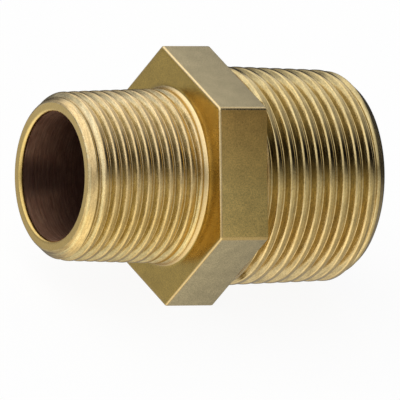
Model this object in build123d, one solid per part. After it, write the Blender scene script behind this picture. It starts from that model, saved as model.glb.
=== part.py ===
from build123d import *
import os
from math import atan, cos, degrees, radians, tan

# Reducing hex nipple: one piece of brass with a male taper pipe thread at each end and a
# wrench hexagon between. The small end is R 3/4 and the large end R 1.
# Frame: bore axis along X, small end at -X, +Z square to one hexagon flat.
# Origin: on the bore axis, half way between the two end faces. Millimetres.

# Lengths along the axis
OVERALL_LENGTH = 49.7
HEX_THICKNESS = 8.3
SMALL_THREAD_LENGTH = 19.4
LARGE_THREAD_LENGTH = OVERALL_LENGTH - HEX_THICKNESS - SMALL_THREAD_LENGTH

# Hexagon
ACROSS_FLATS = 34.0
HEX_CORNER_RADIUS = 0.4
HEX_EDGE_BEVEL = 0.25

# 55 degree taper pipe thread form; heights and widths are fractions of the pitch
INCH = 25.4
TAPER_ON_RADIUS = 1 / 32
HALF_ANGLE = radians(27.5)
SHARP_HEIGHT = 0.960491       # sharp root to sharp crest
THREAD_DEPTH = 0.640327       # full crest to root
CREST_FLAT = 0.34             # flat left on each crest, so the crest is a little low

# R 3/4, small end
SMALL_PITCH = INCH / 14
SMALL_GAUGE_DIAMETER = 26.441
SMALL_GAUGE_LENGTH = 9.5
SMALL_CHAMFER_LENGTH = 1.85
SMALL_PLAIN_LENGTH = 0.8      # unthreaded ring beside the hexagon
SMALL_START_ANGLE = -83.7

# R 1, large end
LARGE_PITCH = INCH / 11
LARGE_GAUGE_DIAMETER = 33.249
LARGE_GAUGE_LENGTH = 10.4
LARGE_CHAMFER_LENGTH = 2.2
LARGE_PLAIN_LENGTH = 0.25
LARGE_START_ANGLE = -31.6

# Both threads
CHAMFER_DROP = 0.5            # outer edge of the end face, below the thread root
RUNOUT_TURNS = 0.1            # over which the groove leaves the bar
GROOVE_REACH = 1.5            # height of the groove cutter, in groove depths

# Bore
SMALL_BORE = 19.5
LARGE_BORE = 26.0
LARGE_BORE_DEPTH = 20.0
DRILL_POINT_HALF_ANGLE = radians(59)
BORE_CHAMFER = 0.25


class TaperThread:
    """One male taper thread, measured from its end face (z = 0) towards the hexagon (+z)."""

    def __init__(self, pitch, gauge_diameter, gauge_length, length, chamfer_length,
                 plain_length, start_angle):
        self.pitch = pitch
        self.length = length
        self.chamfer_length = chamfer_length
        self.plain_length = plain_length
        self.start_angle = start_angle
        full_crest = gauge_diameter / 2 - gauge_length * TAPER_ON_RADIUS
        crest_loss = (CREST_FLAT / 2 / tan(HALF_ANGLE) - SHARP_HEIGHT / 6) * pitch
        self.crest_at_end = full_crest - crest_loss
        self.root_at_end = full_crest - THREAD_DEPTH * pitch
        self.half_root_flat = tan(HALF_ANGLE) * SHARP_HEIGHT / 6 * pitch

    def crest(self, z):
        return self.crest_at_end + z * TAPER_ON_RADIUS

    def root(self, z):
        return self.root_at_end + z * TAPER_ON_RADIUS

    def blank(self):
        """The turned bar before threading: lead chamfer, then the taper up to the hexagon."""
        outline = Polyline(
            (0, 0),
            (self.root_at_end - CHAMFER_DROP, 0),
            (self.crest(self.chamfer_length), self.chamfer_length),
            (self.crest(self.length), self.length),
            (0, self.length),
            close=True,
        )
        return revolve(Plane.XZ * make_face(outline), Axis.Z)

    def helix(self, radius, start, along, height, cone_angle):
        """A right-hand conical helix that is at the angle of its groove's middle at start."""
        edge = Edge.make_helix(
            self.pitch / cos(radians(cone_angle)),
            height,
            radius,
            center=(0, 0, start + along),
            angle=cone_angle,
        )
        return edge.rotate(Axis.Z, self.start_angle + 360 * start / self.pitch)

    def cutter(self, start, height, cone_angle):
        """A stretch of the V groove as a closed solid that reaches out past the crest."""
        reach = GROOVE_REACH * (self.crest_at_end - self.root_at_end)
        half_root = self.half_root_flat
        half_top = half_root + reach * tan(HALF_ANGLE)
        corners = [(0, -half_root), (0, half_root), (reach, half_top), (reach, -half_top)]
        lines = [self.helix(self.root(start) + out, start, along, height, cone_angle)
                 for out, along in corners]
        sides = [Face.make_surface_from_curves(line, following)
                 for line, following in zip(lines, lines[1:] + lines[:1])]
        ends = [Face(Wire.make_polygon([line @ place for line in lines], close=True))
                for place in (0, 1)]
        return Solid(Shell(sides + ends))

    def spigot(self):
        """The threaded end: the groove is cut a turn at a time, then leaves the bar."""
        depth = self.crest_at_end - self.root_at_end
        half_width = self.half_root_flat + depth * tan(HALF_ANGLE)
        runout = RUNOUT_TURNS * self.pitch
        runout_start = self.length - self.plain_length - half_width - runout
        body = self.blank()
        start = -self.pitch
        while start < runout_start:
            height = min(self.pitch, runout_start - start)
            body -= self.cutter(start, height, degrees(atan(TAPER_ON_RADIUS)))
            start += height
        return body - self.cutter(runout_start, runout, degrees(atan(depth / runout)))


def hexagon():
    """The wrench hexagon with softened corners and bevelled edges, centred on the origin."""
    outline = RegularPolygon(ACROSS_FLATS / 2, 6, major_radius=False)
    outline = fillet(outline.vertices(), HEX_CORNER_RADIUS)
    block = extrude(Plane.YZ * outline, HEX_THICKNESS / 2, both=True)
    rims = block.edges().group_by(Axis.X)
    return chamfer(rims[0] + rims[-1], HEX_EDGE_BEVEL)


def bore():
    """The through bore: small from -X, opened out from +X, with a drill-point cone between."""
    end = OVERALL_LENGTH / 2
    over = 1.0
    large_start = end - LARGE_BORE_DEPTH
    cone_length = (LARGE_BORE - SMALL_BORE) / 2 / tan(DRILL_POINT_HALF_ANGLE)
    outline = Polyline(
        (-end - over, 0),
        (-end - over, SMALL_BORE / 2 + BORE_CHAMFER + over),
        (-end + BORE_CHAMFER, SMALL_BORE / 2),
        (large_start - cone_length, SMALL_BORE / 2),
        (large_start, LARGE_BORE / 2),
        (end - BORE_CHAMFER, LARGE_BORE / 2),
        (end + over, LARGE_BORE / 2 + BORE_CHAMFER + over),
        (end + over, 0),
        close=True,
    )
    return revolve(make_face(outline), Axis.X)


def nipple():
    """The whole fitting, one piece of bar."""
    small = TaperThread(
        SMALL_PITCH, SMALL_GAUGE_DIAMETER, SMALL_GAUGE_LENGTH, SMALL_THREAD_LENGTH,
        SMALL_CHAMFER_LENGTH, SMALL_PLAIN_LENGTH, SMALL_START_ANGLE,
    )
    large = TaperThread(
        LARGE_PITCH, LARGE_GAUGE_DIAMETER, LARGE_GAUGE_LENGTH, LARGE_THREAD_LENGTH,
        LARGE_CHAMFER_LENGTH, LARGE_PLAIN_LENGTH, LARGE_START_ANGLE,
    )
    end = OVERALL_LENGTH / 2
    hex_middle = -end + SMALL_THREAD_LENGTH + HEX_THICKNESS / 2

    small_end = Pos(-end, 0, 0) * Rot(0, 90, 0) * small.spigot()
    large_end = Pos(end, 0, 0) * Rot(0, -90, 0) * large.spigot()
    return small_end + Pos(hex_middle, 0, 0) * hexagon() + large_end - bore()


os.makedirs("parts", exist_ok=True)
body = nipple()
export_step(body, "parts/nipple_body.step")
print("nipple_body", round(body.volume, 1), "mm3,", len(body.solids()), "solid")
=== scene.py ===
import math

import bmesh
import bpy
import numpy as np
from mathutils import Matrix, Vector


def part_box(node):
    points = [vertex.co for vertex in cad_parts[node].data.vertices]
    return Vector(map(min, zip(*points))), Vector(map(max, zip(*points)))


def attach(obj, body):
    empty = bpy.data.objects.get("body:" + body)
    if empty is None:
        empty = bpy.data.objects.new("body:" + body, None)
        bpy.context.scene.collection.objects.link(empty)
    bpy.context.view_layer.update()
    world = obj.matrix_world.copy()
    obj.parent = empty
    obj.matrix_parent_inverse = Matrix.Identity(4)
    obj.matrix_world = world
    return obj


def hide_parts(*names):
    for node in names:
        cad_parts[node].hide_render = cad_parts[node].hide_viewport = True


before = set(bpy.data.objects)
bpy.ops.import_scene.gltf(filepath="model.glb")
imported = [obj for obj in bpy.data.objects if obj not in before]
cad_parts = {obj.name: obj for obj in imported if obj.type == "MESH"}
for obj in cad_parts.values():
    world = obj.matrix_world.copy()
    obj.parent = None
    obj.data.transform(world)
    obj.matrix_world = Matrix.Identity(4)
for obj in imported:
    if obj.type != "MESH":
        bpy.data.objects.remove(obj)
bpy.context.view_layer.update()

MM = 0.001
BODY = "nipple_body"
lowest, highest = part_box(BODY)

# ---------------------------------------------------------------- dimensions, in millimetres
END = highest.x / MM               # from the origin to either end face
ACROSS_FLATS = (highest.z - lowest.z) / MM
HEX_THICKNESS = 8.3
HEX_CORNER_RADIUS = 0.55
HEX_EDGE_RADIUS = 0.3
SMALL_LENGTH = 19.4
LARGE_LENGTH = 2 * END - HEX_THICKNESS - SMALL_LENGTH

# 55 degree taper pipe thread; heights and widths are fractions of the pitch
INCH = 25.4
TAPER = 1 / 32                     # on the radius
HALF_ANGLE = math.radians(27.5)
SHARP_HEIGHT = 0.960491            # sharp root to sharp crest
THREAD_DEPTH = 0.640327            # full crest to root
CREST_FLAT = 0.34
CREST_ROUND = 0.17
ROOT_ROUND = 0.09
RUNOUT_TURNS = 0.1                 # the groove starts to fade this far before the plain ring

# Ends of each thread
CHAMFER_DROP = 0.5                 # outer edge of the end face, below the thread root
CHAMFER_BLEND = 0.25               # softens the corner between lead chamfer and taper
RIM_ROUND = 0.25
FOOT_RAMP = (0.55, 0.34)           # along the axis and outwards, beside the hexagon

# Bore; the two bores are radii
SMALL_BORE = 9.75
LARGE_BORE = 13.0
LARGE_BORE_DEPTH = 20.0
DRILL_POINT_HALF_ANGLE = math.radians(59)
BORE_EDGE = 0.5                    # rounding of each mouth
BRIGHT_BORE = 0.7                  # how far in the metal is still bright
LARGE_BORE_ROWS = 6
SMALL_BORE_ROWS = 8

# Mesh
COLUMNS_PER_FLAT = 24
ROWS_TO_MERGE = 2e-6               # this and the next in metres
SLIVERS_TO_DISSOLVE = 1e-6


def corner_arc(before, corner, after, radius, steps=3):
    """Points of a fillet of that radius at corner, between the directions to before and after."""
    corner = np.array(corner, float)
    back = np.array(before, float) - corner
    ahead = np.array(after, float) - corner
    back /= np.linalg.norm(back)
    ahead /= np.linalg.norm(ahead)
    half = math.acos(np.clip(back @ ahead, -1, 1)) / 2
    middle = (back + ahead) / np.linalg.norm(back + ahead)
    centre = corner + middle * radius / math.sin(half)
    first = corner + back * radius / math.tan(half) - centre
    last = corner + ahead * radius / math.tan(half) - centre
    turn = math.pi - 2 * half
    points = []
    for i in range(steps + 1):
        t = i / steps
        arm = math.sin((1 - t) * turn) * first + math.sin(t * turn) * last
        points.append(centre + arm / math.sin(turn))
    return points


class TaperThread:
    """One male thread. z runs from its end face (0) towards the hexagon; side is -1 or +1 in x."""

    def __init__(self, side, per_inch, gauge_diameter, gauge_length, length, chamfer, plain,
                 start, fade):
        self.side = side
        self.pitch = INCH / per_inch
        self.length = length
        self.chamfer = chamfer
        self.start = start
        self.fade = fade
        full = gauge_diameter / 2 - gauge_length * TAPER
        crest_loss = (CREST_FLAT / 2 / math.tan(HALF_ANGLE) - SHARP_HEIGHT / 6) * self.pitch
        self.crest0 = full - crest_loss
        self.root0 = full - THREAD_DEPTH * self.pitch
        self.depth = self.crest0 - self.root0
        self.half_root = math.tan(HALF_ANGLE) * SHARP_HEIGHT / 6 * self.pitch
        self.half_top = self.half_root + self.depth * math.tan(HALF_ANGLE)
        self.face_radius = self.root0 - CHAMFER_DROP
        self.fade_start = length - plain - self.half_top - RUNOUT_TURNS * self.pitch
        self.foot_start = length - FOOT_RAMP[0]
        self.foot_radius = self.crest0 + length * TAPER

    def groove(self):
        """One pitch of the thread, as (distance from the groove's middle, height over the root)."""
        middle, crest = (0, 0), (self.pitch / 2, self.depth)
        root_corner, crest_corner = (self.half_root, 0), (self.half_top, self.depth)
        side = [middle]
        side += corner_arc(middle, root_corner, crest_corner, ROOT_ROUND * self.pitch)
        side += corner_arc(root_corner, crest_corner, crest, CREST_ROUND * self.pitch, steps=5)
        side += [crest]
        return [(-w, h) for w, h in side[:0:-1]] + side[:-1]

    def envelope(self, z):
        """Radius of the turned blank: rounded rim, lead chamfer, then the taper."""
        cone = self.crest0 + z * TAPER
        top = self.crest0 + self.chamfer * TAPER
        chamfer = self.face_radius + (top - self.face_radius) * z / self.chamfer
        mix = np.clip(0.5 + (chamfer - cone) / (2 * CHAMFER_BLEND), 0, 1)
        rim = np.clip(1 - z / RIM_ROUND, 0, 1) ** 2 * RIM_ROUND / 2
        return chamfer + (cone - chamfer) * mix - CHAMFER_BLEND * mix * (1 - mix) - rim

    def rows(self, angles):
        """x, radius and depth (0 crest, 1 root) of each threaded row, at each angle in degrees."""
        turn = (90 - self.side * angles - self.start) / 360
        rows = []
        for k in range(-2, math.ceil(self.length / self.pitch) + 2):
            centre = self.pitch * (turn + k)
            faded = np.clip((centre - self.fade_start) / (self.fade * self.pitch), 0, 2)
            for w, h in self.groove():
                z = np.clip(centre + w, 0, self.foot_start)
                groove = self.root0 + z * TAPER + faded * self.depth + h
                radius = np.minimum(groove, self.envelope(z))
                depth = np.clip((self.crest0 + z * TAPER - groove) / self.depth, 0, 1)
                rows.append((self.side * (END - z), radius, depth))
        return rows


SMALL = TaperThread(side=-1, per_inch=14, gauge_diameter=26.441, gauge_length=9.5,
                    length=SMALL_LENGTH, chamfer=1.85, plain=0.8, start=-83.7, fade=0.6)
LARGE = TaperThread(side=1, per_inch=11, gauge_diameter=33.249, gauge_length=10.4,
                    length=LARGE_LENGTH, chamfer=2.2, plain=0.25, start=-31.6, fade=0.3)

CORNER_CENTRE = (ACROSS_FLATS / 2 - HEX_CORNER_RADIUS) / math.cos(math.radians(30))
CORNER_REACH = math.atan2(
    HEX_CORNER_RADIUS / 2, CORNER_CENTRE + HEX_CORNER_RADIUS * math.cos(math.radians(30)))


def hex_radius(angles):
    """Distance from the axis to the rounded hexagon, flats square to Z."""
    from_flat = (angles % 60) - 30
    flat = ACROSS_FLATS / 2 / np.cos(np.radians(from_flat))
    from_corner = np.radians(30 - np.abs(from_flat))
    inside = np.maximum(HEX_CORNER_RADIUS ** 2 - (CORNER_CENTRE * np.sin(from_corner)) ** 2, 0)
    arc = CORNER_CENTRE * np.cos(from_corner) + np.sqrt(inside)
    return np.where(from_corner < CORNER_REACH, arc, flat)


def column_angles():
    """Column angles round the axis in degrees, closer together at the hexagon's corners."""
    reach = math.degrees(CORNER_REACH)
    near = [reach * t for t in (0, 1 / 3, 2 / 3, 1)]
    across = np.linspace(reach, 60 - reach, COLUMNS_PER_FLAT + 1)[1:-1]
    flat = near + list(across) + [60 - a for a in near[:0:-1]]
    return np.array([60 * k + a for k in range(6) for a in flat] + [360.0])


def ring(thread, points):
    return [(thread.side * (END - z), radius) for z, radius in points]


def rim(thread, bore):
    """From just inside a bore, round its mouth and out over the end face."""
    points = [(BRIGHT_BORE, bore), (BRIGHT_BORE / 2 + BORE_EDGE / 2, bore)]
    for turn in range(0, 91, 15):
        t = math.radians(turn)
        points.append((BORE_EDGE * (1 - math.sin(t)), bore + BORE_EDGE * (1 - math.cos(t))))
    inner = bore + BORE_EDGE
    outer = thread.face_radius - RIM_ROUND / 2
    return ring(thread, points + [(0, inner + (outer - inner) * t) for t in (0.1, 0.5, 0.9)])


def foot(thread):
    """The plain ring beside the hexagon: part of an arc that climbs to the hexagon's face."""
    along, out = FOOT_RAMP
    turns = [math.radians(turn) for turn in range(14, 45, 6)]
    runs = [math.sin(turn) - math.sin(turns[0]) for turn in turns]
    rises = [math.cos(turns[0]) - math.cos(turn) for turn in turns]
    points = []
    for run, rise in zip(runs, rises):
        short = along * (1 - run / runs[-1])
        radius = thread.foot_radius - short * TAPER + out * rise / rises[-1]
        points.append((thread.length - short, radius))
    return ring(thread, points)


def hex_side(thread, boundary):
    """Four rows over a face of the hexagon, then three round its edge."""
    face_x = thread.side * (END - thread.length)
    start = thread.foot_radius + FOOT_RAMP[1]
    inner = boundary - HEX_EDGE_RADIUS
    rows = [(face_x, start + (inner - start) * t) for t in (0.15, 0.5, 0.85, 1)]
    for turn in (30, 60, 90):
        t = math.radians(turn)
        x = face_x - thread.side * HEX_EDGE_RADIUS * (1 - math.cos(t))
        rows.append((x, inner + HEX_EDGE_RADIUS * math.sin(t)))
    return rows


def bore_rows():
    """The large bore from its mouth, the drill-point cone, then the small bore to its mouth."""
    step = END - LARGE_BORE_DEPTH
    cone = (LARGE_BORE - SMALL_BORE) / math.tan(DRILL_POINT_HALF_ANGLE)
    apart = (END - BRIGHT_BORE - step) / LARGE_BORE_ROWS
    rows = [(step + apart * i, LARGE_BORE) for i in range(LARGE_BORE_ROWS - 1, -1, -1)]
    rows += [(step - cone * t, LARGE_BORE - (LARGE_BORE - SMALL_BORE) * t)
             for t in (0.04, 0.5, 0.96, 1)]
    apart = (END - BRIGHT_BORE + step - cone) / SMALL_BORE_ROWS
    return rows + [(step - cone - apart * i, SMALL_BORE) for i in range(1, SMALL_BORE_ROWS)]


def body_rows(angles):
    """All rows of the closed section: x, radius, depth in the thread, and zone of the metal.

    They run from the small rim over the outside to the large rim and back through the bore. A
    row's zone is that of the strip that leads up to it.
    """
    boundary = hex_radius(angles)
    small_side, large_side = hex_side(SMALL, boundary), hex_side(LARGE, boundary)
    sections = [
        ("rim", rim(SMALL, SMALL_BORE)),
        ("small_thread", SMALL.rows(angles)),
        ("foot", foot(SMALL)),
        ("hex_face", small_side[:4]),
        ("hex_edge", small_side[4:]),
        ("flat", large_side[:3:-1]),
        ("hex_edge", large_side[3:4]),
        ("hex_face", large_side[2::-1]),
        ("foot", foot(LARGE)[::-1]),
        ("large_thread", LARGE.rows(angles)[::-1]),
        ("rim", rim(LARGE, LARGE_BORE)[::-1]),
        ("bore", bore_rows()),
    ]
    one = np.ones_like(angles)
    xs, radii, depths, zones = [], [], [], []
    for zone, rows in sections:
        for x, radius, *depth in rows:
            xs.append(x * one)
            radii.append(radius * one)
            depths.append((depth[0] if depth else 0) * one)
            zones.append(zone)
    zones[0] = "bore"
    return np.array(xs), np.array(radii), np.array(depths), zones


def build_body(materials):
    """The whole nipple as one closed mesh, with a material for each zone."""
    angles = column_angles()
    xs, radii, depths, zones = body_rows(angles)
    rows, columns = xs.shape
    turn = np.radians(angles)
    points = np.stack([xs, radii * np.cos(turn), radii * np.sin(turn)], -1) * MM
    rounding = 1.01
    from_corner = np.abs((angles + 30) % 60 - 30)
    at_corner = from_corner < math.degrees(CORNER_REACH) * rounding
    slot_of = {zone: slot for slot, zone in enumerate(materials)}
    faces, slots = [], []
    for i in range(rows):
        after = (i + 1) % rows
        for j in range(columns - 1):
            here, there = i * columns + j, after * columns + j
            faces.append((here, here + 1, there + 1, there))
            # A flat's rounded corner takes the paler edge brass, partly a painted highlight.
            painted_light_part = zones[after] == "flat" and at_corner[j] and at_corner[j + 1]
            slots.append(slot_of["hex_edge" if painted_light_part else zones[after]])
    mesh = bpy.data.meshes.new("hex_nipple")
    mesh.from_pydata(points.reshape(-1, 3).tolist(), [], faces)
    for material in materials.values():
        mesh.materials.append(material)
    mesh.polygons.foreach_set("material_index", slots)
    groove = mesh.attributes.new("groove", "FLOAT", "POINT")
    groove.data.foreach_set("value", depths.reshape(-1))
    work = bmesh.new()
    work.from_mesh(mesh)
    bmesh.ops.remove_doubles(work, verts=work.verts, dist=ROWS_TO_MERGE)
    bmesh.ops.dissolve_degenerate(work, edges=work.edges, dist=SLIVERS_TO_DISSOLVE)
    bmesh.ops.recalc_face_normals(work, faces=work.faces)
    work.to_mesh(mesh)
    work.free()
    mesh.polygons.foreach_set("use_smooth", [True] * len(mesh.polygons))
    piece = bpy.data.objects.new("hex_nipple", mesh)
    bpy.context.scene.collection.objects.link(piece)
    return piece


# ---------------------------------------------------------------- materials
def rgb(r, g, b):
    return (r, g, b, 1)


class Graph:
    """Adds nodes to a node tree: a socket given as an input is linked, anything else is set."""

    def __init__(self, tree):
        self.tree = tree

    def add(self, kind, inputs=(), **settings):
        node = self.tree.nodes.new(kind)
        for name, value in settings.items():
            setattr(node, name, value)
        self.feed(node, inputs)
        return node

    def feed(self, node, inputs):
        for name, value in dict(inputs).items():
            if isinstance(value, bpy.types.NodeSocket):
                self.tree.links.new(value, node.inputs[name])
            else:
                node.inputs[name].default_value = value

    def math(self, operation, *values):
        return self.add("ShaderNodeMath", dict(enumerate(values)), operation=operation).outputs[0]

    def span(self, value, low, high, to_low=0.0, to_high=1.0, smooth=False):
        inputs = {"Value": value, "From Min": low, "From Max": high,
                  "To Min": to_low, "To Max": to_high}
        kind = "SMOOTHSTEP" if smooth else "LINEAR"
        return self.add("ShaderNodeMapRange", inputs, interpolation_type=kind).outputs[0]

    def mix(self, factor, first, second, blend="MIX"):
        node = self.add("ShaderNodeMix", data_type="RGBA", blend_type=blend)
        self.feed(node, {"Factor": factor, "A": first, "B": second})
        return node.outputs["Result"]

    def times(self, first, second):
        return self.mix(1.0, first, second, "MULTIPLY")

    def ramp(self, value, stops):
        node = self.add("ShaderNodeValToRGB", {0: value})
        elements = node.color_ramp.elements
        while len(elements) < len(stops):
            elements.new(0.5)
        for element, (position, colour) in zip(elements, stops):
            element.position = position
            element.color = rgb(*colour)
        return node.outputs[0]


class Metal(Graph):
    """A brass material: position in millimetres, noise at real scales, and a bumped metal."""

    def __init__(self, name):
        self.material = bpy.data.materials.new(name)
        self.material.use_nodes = True
        super().__init__(self.material.node_tree)
        self.shader = self.tree.nodes["Principled BSDF"]
        self.shader.inputs["Metallic"].default_value = 1
        position = self.add("ShaderNodeTexCoord").outputs["Object"]
        scaled = self.add("ShaderNodeVectorMath", {0: position, "Scale": 1 / MM}, operation="SCALE")
        self.place = scaled.outputs[0]
        self.axes = self.add("ShaderNodeSeparateXYZ", {0: self.place}).outputs

    def noise(self, along, across, detail=2.0, roughness=0.5):
        """Noise of that many grains per millimetre along the bore axis and across it."""
        inputs = {0: self.place, 1: (along, across, across)}
        stretched = self.add("ShaderNodeVectorMath", inputs, operation="MULTIPLY").outputs[0]
        inputs = {"Vector": stretched, "Scale": 1.0, "Detail": detail, "Roughness": roughness}
        return self.add("ShaderNodeTexNoise", inputs).outputs[0]

    def attribute(self, name):
        return self.add("ShaderNodeAttribute", attribute_name=name).outputs["Fac"]

    # Painted light and shade: the brass changes colour with height, from lower below to upper
    # above.
    def painted_light_by_height(self, lower, upper):
        return self.mix(self.span(self.axes["Z"], -2.0, 9.0, smooth=True), rgb(*lower), rgb(*upper))

    def stain(self, colour, noise, tint):
        """The colour, multiplied by the tint where the noise is low."""
        return self.mix(self.span(noise, 0.35, 0.65), colour, self.times(colour, rgb(*tint)))

    def finish(self, colour, roughness, bumps):
        """The material with that colour and roughness; bumps are (height, millimetres)."""
        normal = None
        for height, depth in bumps:
            inputs = {"Height": height, "Distance": depth * MM, "Strength": 1.0}
            bump = self.add("ShaderNodeBump", inputs)
            if normal is not None:
                self.feed(bump, {"Normal": normal})
            normal = bump.outputs[0]
        self.feed(self.shader, {"Base Color": colour, "Roughness": roughness, "Normal": normal})
        return self.material


def cut_thread(name, upper, lower, crest, flank, root, smooth):
    """Threads cut with a die: fine streaks round the axis and small specks.

    upper and lower are the brass by height, a painted light; crest, flank and root are what it is
    multiplied by there, a painted highlight and shade by depth in the groove, darker at the root.
    """
    m = Metal(name)
    marks = m.noise(6.0, 0.35, detail=4.0, roughness=0.6)
    patches = m.noise(0.5, 0.35, detail=4.0, roughness=0.6)
    specks = m.noise(4.0, 3.0, detail=3.0, roughness=0.7)
    brass = m.stain(m.painted_light_by_height(lower, upper), patches, (0.97, 0.93, 0.84))
    depths = [(0.1, (crest,) * 3), (0.3, flank), (0.75, flank), (0.95, (root,) * 3)]
    # Painted highlight and shade: the brass is multiplied by the crest, flank and root factors by
    # depth in the groove.
    painted_light_part = m.times(brass, m.ramp(m.attribute("groove"), depths))
    streak = m.math("MULTIPLY", m.span(marks, 0.35, 0.62, 0.66, 1.0),
                    m.span(specks, 0.35, 0.6, 0.78, 1.0))
    roughness = m.span(marks, 0.3, 0.7, smooth, smooth + 0.1)
    return m.finish(m.times(painted_light_part, streak), roughness, [(marks, 0.010), (specks, 0.010)])


def turned(name, upper, lower):
    """Faces, fillets and edges left by the turning tool; their colour by height is painted light.
    """
    m = Metal(name)
    marks = m.noise(7.0, 0.6, detail=3.0)
    specks = m.noise(3.0, 3.0, detail=3.0, roughness=0.6)
    colour = m.stain(m.painted_light_by_height(lower, upper), specks, (0.93, 0.90, 0.82))
    roughness = m.span(marks, 0.3, 0.7, 0.2, 0.32)
    return m.finish(colour, roughness, [(marks, 0.008), (specks, 0.01)])


def hex_matte(name, pale, golden, painted_shade_top, smooth, relief, painted_top_shade):
    """Matt hexagon stock with a fine even grain, darker towards the top as painted shade.
    A painted reflection makes it pale, but golden on the two flats that face up at 30 degrees;
    painted shade darkens those flats at their top.
    """
    m = Metal(name)
    grain = m.noise(5.0, 5.0, detail=3.0, roughness=0.7)
    patches = m.noise(0.4, 0.4, detail=3.0)
    normal = m.add("ShaderNodeTexCoord").outputs["Normal"]
    facing = m.add("ShaderNodeSeparateXYZ", {0: normal}).outputs["Z"]
    from_golden = m.math("ABSOLUTE", m.math("SUBTRACT", facing, 0.5))
    height = m.axes["Z"]
    # Painted shade: the golden flats darken towards their top.
    golden_flat = m.mix(m.span(height, 6.0, 16.0), rgb(*golden), rgb(*painted_shade_top))
    # Painted reflection: golden on flats whose normal faces up at 30 degrees, pale on the rest.
    face = m.mix(m.span(from_golden, 0.1, 0.4), golden_flat, rgb(*pale))
    face = m.stain(face, patches, (0.88, 0.88, 0.88))
    # Painted shade: the whole face is darker towards the top.
    face = m.times(face, m.span(height, 1.0, 15.0, 1.0, painted_top_shade))
    pits = m.mix(0.4, face, rgb(0.1, 0.07, 0.03))
    colour = m.mix(m.span(grain, 0.35, 0.6), pits, face)
    return m.finish(colour, m.span(grain, 0.3, 0.7, smooth, smooth + 0.12), [(grain, relief)])


def bore_oxide_and_shade():
    """The drilled bore: dark brown from the heat and oil of drilling, with turning rings.

    Painted shade makes it darkest deep inside, and a painted dark reflection makes a stripe along
    the wall.
    """
    m = Metal("bore_oxide_and_shade")
    rings = m.noise(2.5, 0.2, detail=3.0)
    patches = m.noise(0.8, 0.4, detail=3.0)
    # Painted shade deep inside the bore.
    deep = m.span(m.axes["X"], -END, -END + 11, smooth=True)
    across = m.math("ADD", m.math("MULTIPLY", m.axes["Y"], 0.5),
                    m.math("MULTIPLY", m.axes["Z"], 0.87))
    # Painted dark reflection: a stripe along the wall.
    stripe = m.span(m.math("ABSOLUTE", across), 1.0, 4.5, 0.7, 0.0, smooth=True)
    dark = m.math("MAXIMUM", stripe, m.math("MULTIPLY", deep, 0.7))
    colour = m.mix(m.span(patches, 0.3, 0.7), rgb(0.78, 0.50, 0.34), rgb(0.50, 0.27, 0.18))
    colour = m.mix(m.span(rings, 0.35, 0.65, 0.0, 0.6), colour, rgb(0.18, 0.08, 0.06))
    colour = m.mix(dark, colour, rgb(0.06, 0.03, 0.03))
    return m.finish(colour, m.span(rings, 0.3, 0.7, 0.5, 0.65), [(rings, 0.04)])


SIDE_BRASS = (0.64, 0.445, 0.11)
# Paler brass on the turned edges, the flats' rounded corners and the foot rings: partly a painted
# highlight.
edge_brass = turned("bright_edge", upper=(0.88, 0.69, 0.38), lower=(0.73, 0.53, 0.24))
body = build_body({
    # Upper and lower colours are painted light by height; crest, flank and root are painted
    # highlight and shade.
    "small_thread": cut_thread(
        "small_thread", upper=(1.0, 0.765, 0.41), lower=(0.90, 0.65, 0.27),
        crest=0.95, flank=(0.97, 1.07, 1.2), root=0.75, smooth=0.2),
    "large_thread": cut_thread(
        "large_thread", upper=(0.76, 0.60, 0.30), lower=(0.80, 0.60, 0.285),
        crest=1.12, flank=(1.0, 1.03, 1.06), root=0.95, smooth=0.12),
    "foot": edge_brass,
    "rim": turned("turned_face", upper=(0.83, 0.62, 0.25), lower=(0.74, 0.54, 0.20)),
    "hex_face": hex_matte(
        "hex_side", pale=SIDE_BRASS, golden=SIDE_BRASS, painted_shade_top=SIDE_BRASS,
        smooth=0.15, relief=0.016, painted_top_shade=1.0),
    "hex_edge": edge_brass,
    # The pale and golden flats are a painted reflection; their darker top is painted shade.
    "flat": hex_matte(
        "hex_flat", pale=(0.73, 0.62, 0.38), golden=(0.92, 0.70, 0.27), painted_shade_top=(0.80, 0.52, 0.17),
        smooth=0.45, relief=0.03, painted_top_shade=0.84),
    "bore": bore_oxide_and_shade(),
})
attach(body, "root")
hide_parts(BODY)


# ---------------------------------------------------------------- camera
VIEW_ANGLE = math.radians(59.85)     # between the view direction and the bore axis
CORNER_TILT = math.radians(0.9)      # of the upper corner, round the axis
ROLL = math.radians(-0.25)
DISTANCE = 2.0                       # metres, as is the next
FAR_CLIP = 20.0
PIXELS_PER_MM = 6.64
FRAME_PIXELS = 400
SENSOR = 36.0
HEX_OFFSET = (-12.7, 24.2)           # of the hexagon's centre, in pixels right and up


def place_camera():
    up_angle = math.radians(60) + CORNER_TILT
    up = Vector((0, math.cos(up_angle), math.sin(up_angle)))
    near = Vector((0, -math.sin(up_angle), math.cos(up_angle)))
    back = Vector((-math.cos(VIEW_ANGLE), 0, 0)) + near * math.sin(VIEW_ANGLE)
    level = up.cross(back)
    right = level * math.cos(ROLL) + up * math.sin(ROLL)
    up = up * math.cos(ROLL) - level * math.sin(ROLL)
    data = bpy.data.cameras.new("camera")
    camera = bpy.data.objects.new("camera", data)
    bpy.context.scene.collection.objects.link(camera)
    data.sensor_width = SENSOR
    data.lens = PIXELS_PER_MM / MM * DISTANCE / FRAME_PIXELS * SENSOR
    data.clip_end = FAR_CLIP
    hexagon = Vector((-END + SMALL.length + HEX_THICKNESS / 2, 0, 0)) * MM
    offset = (right * HEX_OFFSET[0] + up * HEX_OFFSET[1]) * MM / PIXELS_PER_MM
    rotation = Matrix((right, up, back)).transposed().to_4x4()
    camera.matrix_world = Matrix.Translation(hexagon + back * DISTANCE - offset) @ rotation
    bpy.context.scene.camera = camera


place_camera()


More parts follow.
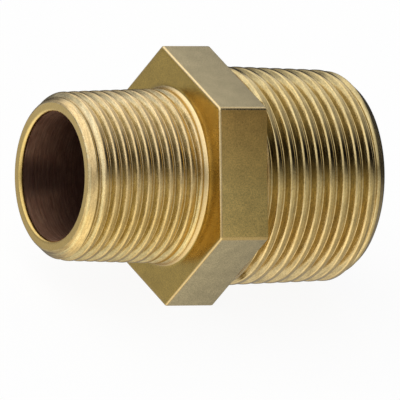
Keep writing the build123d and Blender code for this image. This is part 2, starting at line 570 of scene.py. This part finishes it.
# ---------------------------------------------------------------- light and floor
# Brightness by climb, in degrees: 0 is level in front, 90 overhead, 180 level behind
RIGHT_LIGHT = [
    (-180, 0.04), (-150, 0.06), (-135, 0.25), (-112, 0.42), (-80, 0.55), (-45, 0.58), (-15, 0.56),
    (0, 0.60), (12, 0.66), (20, 0.53), (30, 0.29), (39, 0.06), (48, 0.0), (62, 0.0), (76, 0.17),
    (92, 0.38), (110, 0.51), (130, 0.74), (152, 1.05), (162, 0.60), (170, 0.06),
]
LEFT_LIGHT = [
    (-180, 0.3), (-165, 0.45), (-150, 0.53), (-135, 0.55), (-110, 0.9), (-80, 1.35), (-50, 1.4),
    (-25, 1.2), (0, 0.95), (12, 0.80), (24, 0.45), (34, 0.40), (46, 0.85), (70, 1.15), (92, 1.20),
    (110, 1.3), (130, 1.4), (150, 1.3), (164, 0.9), (172, 0.4),
]
RIGHT_WARMTH = 0.2
LEFT_WARMTH = 0.05

FLOOR_SIZE = 6                       # metres
FLOOR_GLOW = 0.92


def ramp_stops(lights, warmth):
    """Ramp stops from (climb, brightness); the light from low in front is warmer."""
    stops = []
    for climb, value in lights:
        warm = warmth * float(np.interp(climb, (-90, -50, 15, 45), (0, 1, 1, 0)))
        stops.append(((climb + 180) / 360, (value, value * (1 - 0.2 * warm), value * (1 - warm))))
    return stops


def studio():
    """Soft light all round, dim at the far right, with a dark strip high in front on the right."""
    world = bpy.data.worlds.new("studio")
    bpy.context.scene.world = world
    world.use_nodes = True
    g = Graph(world.node_tree)
    direction = g.add("ShaderNodeTexCoord").outputs["Generated"]
    axes = g.add("ShaderNodeSeparateXYZ", {0: direction}).outputs
    climb = g.math("ARCTAN2", axes["Z"], g.math("MULTIPLY", axes["Y"], -1.0))
    climb = g.span(climb, -math.pi, math.pi)
    right = g.ramp(climb, ramp_stops(RIGHT_LIGHT, RIGHT_WARMTH))
    left = g.ramp(climb, ramp_stops(LEFT_LIGHT, LEFT_WARMTH))
    side = g.span(axes["X"], -0.35, 0.3, smooth=True)
    far = g.span(axes["X"], 0.5, 0.85, 1.0, 0.7, smooth=True)
    reflected = g.mix(side, left, g.times(right, far))
    camera_ray = g.add("ShaderNodeLightPath").outputs["Is Camera Ray"]
    background = world.node_tree.nodes["Background"]
    g.feed(background, {"Color": g.mix(camera_ray, reflected, rgb(1, 1, 1))})


def floor():
    """A pale glowing sheet, as of a light table."""
    bpy.ops.mesh.primitive_plane_add(size=FLOOR_SIZE, location=(0, 0, lowest.z))
    sheet = bpy.context.object
    sheet.name = "floor"
    material = bpy.data.materials.new("pale_floor")
    material.use_nodes = True
    shader = material.node_tree.nodes["Principled BSDF"]
    Graph(material.node_tree).feed(shader, {
        "Base Color": rgb(0.1, 0.1, 0.1),
        "Roughness": 0.9,
        "Specular IOR Level": 0,
        "Emission Color": rgb(1, 1, 1),
        "Emission Strength": FLOOR_GLOW,
    })
    sheet.data.materials.append(material)
    sheet.visible_glossy = False


studio()
floor()
bpy.context.scene.view_settings.view_transform = "Standard"
